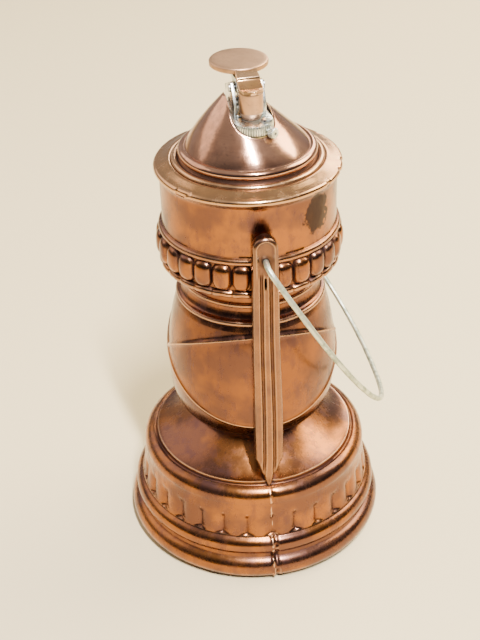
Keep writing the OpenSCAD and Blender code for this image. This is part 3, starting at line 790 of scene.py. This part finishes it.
def cheeks_piece():
    bottom = pin_z + 0.35
    under = disc_top - 1.4
    cheek = [(-2.2, bottom + 0.4), (-2.1, 125.4), (-0.9, 124.9), (0.9, 124.95), (2.6, 126.2),
             (4.6, under - 0.4), (-0.4, under - 0.5)]
    verts, faces = joined(plate(cheek, 2.1, 2.78), plate(cheek, -2.78, -2.1))
    return turned(verts), faces


def disc_piece():
    low = disc_top - 1.4
    profile = [(0, low), (disc_r - 0.5, low)] + arc(disc_r - 0.35, low + 0.35, 0.35, -80, 0, 5)
    profile += arc(disc_r - 0.42, disc_top - 0.48, 0.42, 0, 85, 7)
    profile += [(disc_r - 1.2, disc_top - 0.05), (disc_r - 3, disc_top - 0.04), (0, disc_top - 0.04)]

    def shape(r, z, a):
        return min(disc_r - 0.01, r + uneven(r * math.cos(a), r * math.sin(a), z, 5, 0.05) * (r > 5)), z

    verts, faces = lathe(profile, 144, shape, closed=False)
    return turned(verts, 0, disc_r), faces


def snuffer_piece():
    low = 119.9
    top = pin_z + 0.35
    r = 2.85
    profile = [(0, top), (r - 0.05, top)] + dense([(r, top - 0.1), (r, low + 2.0)], 0.6)
    profile += arc(r - 0.5, low + 1.75, 0.5, 10, -20, 3)
    profile += [(r - 0.62, low + 0.25), (r - 0.72, low + 0.05), (r - 0.82, low), (1.82, low),
                (1.8, low + 0.4), (r - 0.45, low + 2.1), (r - 0.45, top - 1), (0, top - 1)]
    verts, faces = lathe(profile, 96, closed=False)
    return turned(verts, 0, -4.2), faces


# ---------- soft pieces ----------
def softened(name, node, body, material, voxel, amount, size):
    """A copy of a soft CAD solid with rounded, uneven sides that stay inside it."""
    obj = bpy.data.objects.new(name, frame["nodes"][node].data.copy())
    bpy.context.scene.collection.objects.link(obj)
    remesh = obj.modifiers.new("even", "REMESH")
    remesh.mode = "VOXEL"
    remesh.voxel_size = voxel * MM
    graph = bpy.context.evaluated_depsgraph_get()
    mesh = bpy.data.meshes.new_from_object(obj.evaluated_get(graph))
    obj.modifiers.clear()
    obj.data = mesh
    bm = bmesh.new()
    bm.from_mesh(mesh)
    bmesh.ops.smooth_vert(bm, verts=bm.verts, factor=0.5, use_axis_x=True, use_axis_y=True, use_axis_z=True)
    bm.normal_update()
    for v in bm.verts:
        v.co -= v.normal * MM * amount * (0.5 + 0.5 * noise.noise(v.co / (size * MM)))
    for face in bm.faces:
        face.smooth = True
    bm.to_mesh(mesh)
    bm.free()
    mesh.materials.clear()
    mesh.materials.append(material)
    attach(obj, body)
    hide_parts(node)
    return obj


# ---------- put the object together ----------
piece("base_casting", base_piece(), "lamp", ["base_shell"], base_copper, sharp=50)
piece("globe_casting", globe_piece(), "lamp", ["globe_shell"], globe_copper, sharp=50)
piece("crown_casting", crown_piece(), "lamp", ["crown_shell"], crown_copper, sharp=50)
piece("roof_casting", roof_piece(), "lamp", ["roof_cone"], roof_copper, sharp=40)
piece("front_post", post_piece(-1), "lamp", ["post_front"], post_copper, sharp=50)
piece("back_post", post_piece(1), "lamp", ["post_back"], post_copper, sharp=50)
piece("bail", bail_piece(), "bail", ["bail_wire"], zinc, sharp=50)
piece("collar", collar_piece(), "insert", ["insert_collar"], nickel, sharp=28)
piece("clamp_screw", screw_piece(), "insert", ["collar_screw"], nickel, sharp=28)
piece("ear_bracket", bracket_piece(), "insert", ["bracket"], nickel, bevel=0.12)
piece("arm", arm_piece(), "arm", ["lift_arm"], arm_copper, bevel=0.13)
piece("arm_cheeks", cheeks_piece(), "arm", ["lift_arm"], nickel, bevel=0.1)
piece("disc", disc_piece(), "arm", ["thumb_disc"], disc_copper)
piece("snuffer", snuffer_piece(), "arm", ["snuffer_cap"], snuffer_copper)
softened("felt_pad", "base_felt", "lamp", felt, 0.6, 0.12, 3)
softened("card_disc", "base_card", "lamp", card, 0.5, 0.05, 6)
softened("wadding", "tank_wadding", "insert", cotton, 0.45, 0.5, 2)
softened("wick_cord", "wick", "insert", scorched, 0.12, 0.1, 0.4)
softened("snuffer_pad", "snuffer_liner", "arm", scorched, 0.2, 0.15, 0.8)

cad_looks = {
    steel: ["base_plate", "tie_rod", "base_washer", "base_nut", "crown_nut", "wheel_axle", "pivot_pin",
            "arm_spring", "arm_pawl", "flint_spring"],
    hard_steel: ["spark_wheel"],
    brass: ["insert_sleeve", "tank_shell", "tank_base", "wick_tube", "flint_tube", "flint_screw",
            "filler_screw"],
    ferro: ["flint"],
    gasket: ["filler_gasket"],
    disc_copper: ["disc_rivet"],
}
for material, nodes in cad_looks.items():
    for node in nodes:
        obj = frame["nodes"][node]
        obj.data.materials.clear()
        obj.data.materials.append(material)


# ---------- camera ----------
def rotated(v, angle):
    c, s = math.cos(angle), math.sin(angle)
    return Vector((v[0] * c - v[1] * s, v[0] * s + v[1] * c, v[2]))


def make_camera():
    round_by = math.radians(-7.9)
    away, height = 263.8 * MM, 234.7 * MM
    down, roll, yaw = math.radians(33.43), math.radians(-1.55), math.radians(-0.64)
    look = Vector((math.sin(yaw) * math.cos(down), math.cos(yaw) * math.cos(down), -math.sin(down)))
    right = Vector((math.cos(yaw), -math.sin(yaw), 0))
    up = right.cross(look)
    right_rolled = right * math.cos(roll) + up * math.sin(roll)
    up_rolled = up * math.cos(roll) - right * math.sin(roll)
    axes = [rotated(v, round_by) for v in (right_rolled, up_rolled, -look)]
    data = bpy.data.cameras.new("camera")
    data.sensor_width = 36
    data.lens = 67.5
    data.clip_start = 0.01
    cam = bpy.data.objects.new("camera", data)
    bpy.context.scene.collection.objects.link(cam)
    place = Matrix(axes).transposed().to_4x4()
    place.translation = rotated((0, -away, height), round_by)
    cam.matrix_world = place
    bpy.context.scene.camera = cam


# ---------- floor, room and lamps ----------
def make_floor():
    bpy.ops.mesh.primitive_plane_add(size=6, location=(0, 0, 0))
    floor = bpy.context.object
    floor.name = "floor"
    mat = bpy.data.materials.new("pale_floor")
    mat.use_nodes = True
    nodes, links = mat.node_tree.nodes, mat.node_tree.links
    shader = nodes["Principled BSDF"]
    shader.inputs["Base Color"].default_value = (0.84, 0.70, 0.42, 1)
    shader.inputs["Roughness"].default_value = 0.75
    coords = nodes.new("ShaderNodeTexCoord")
    cloth = nodes.new("ShaderNodeTexNoise")
    cloth.inputs["Scale"].default_value = 60.0
    cloth.inputs["Detail"].default_value = 4.0
    links.new(coords.outputs["Object"], cloth.inputs["Vector"])
    bump = nodes.new("ShaderNodeBump")
    bump.inputs["Distance"].default_value = 0.1 * MM
    links.new(cloth.outputs["Fac"], bump.inputs["Height"])
    links.new(bump.outputs["Normal"], shader.inputs["Normal"])
    floor.data.materials.append(mat)


def make_world():
    world = bpy.data.worlds.new("room")
    bpy.context.scene.world = world
    world.use_nodes = True
    nodes, links = world.node_tree.nodes, world.node_tree.links
    back = nodes["Background"]
    coords = nodes.new("ShaderNodeTexCoord")
    facing = nodes.new("ShaderNodeMapRange")
    facing.interpolation_type = "SMOOTHSTEP"
    for i, value in ((1, -0.1), (2, 0.6), (3, 0.0), (4, 1.0)):
        facing.inputs[i].default_value = value
    lean = nodes.new("ShaderNodeVectorMath")
    lean.operation = "DOT_PRODUCT"
    lean.inputs[1].default_value = (0, 0.6, 0.8)
    links.new(coords.outputs["Generated"], lean.inputs[0])
    links.new(lean.outputs["Value"], facing.inputs[0])
    mixer = nodes.new("ShaderNodeMix")
    mixer.data_type = "RGBA"
    mixer.inputs[6].default_value = (0.10, 0.10, 0.14, 1)
    mixer.inputs[7].default_value = (1.0, 0.95, 0.92, 1)
    links.new(facing.outputs[0], mixer.inputs[0])
    links.new(mixer.outputs[2], back.inputs["Color"])
    back.inputs["Strength"].default_value = 0.55


def area(name, azimuth, elevation, distance, width, height, watts, colour):
    """A soft panel of light that faces the lantern. Azimuth 0 is over the camera, positive to its right."""
    data = bpy.data.lights.new(name, "AREA")
    data.shape = "RECTANGLE"
    data.size, data.size_y = width, height
    data.energy = watts
    data.color = colour
    a = math.radians(-97.9 + azimuth)
    e = math.radians(elevation)
    way = Vector((math.cos(a) * math.cos(e), math.sin(a) * math.cos(e), math.sin(e)))
    lamp = bpy.data.objects.new(name, data)
    lamp.location = Vector((0, 0, 0.07)) + way * distance
    lamp.rotation_mode = "QUATERNION"
    lamp.rotation_quaternion = (-way).to_track_quat("-Z", "Y")
    bpy.context.scene.collection.objects.link(lamp)


make_camera()
make_floor()
make_world()
area("ceiling_light", 19, 60, 0.9, 0.03, 0.30, 25.0, (1.0, 0.97, 0.95))
area("window", 120, 42, 0.8, 0.50, 0.40, 9.0, (1.0, 0.86, 0.58))
area("back_wall", 160, 27, 0.9, 0.45, 0.30, 4.5, (1.0, 0.88, 0.66))
area("left_wall", -115, 38, 0.9, 0.90, 0.60, 3.2, (1.0, 0.82, 0.66))
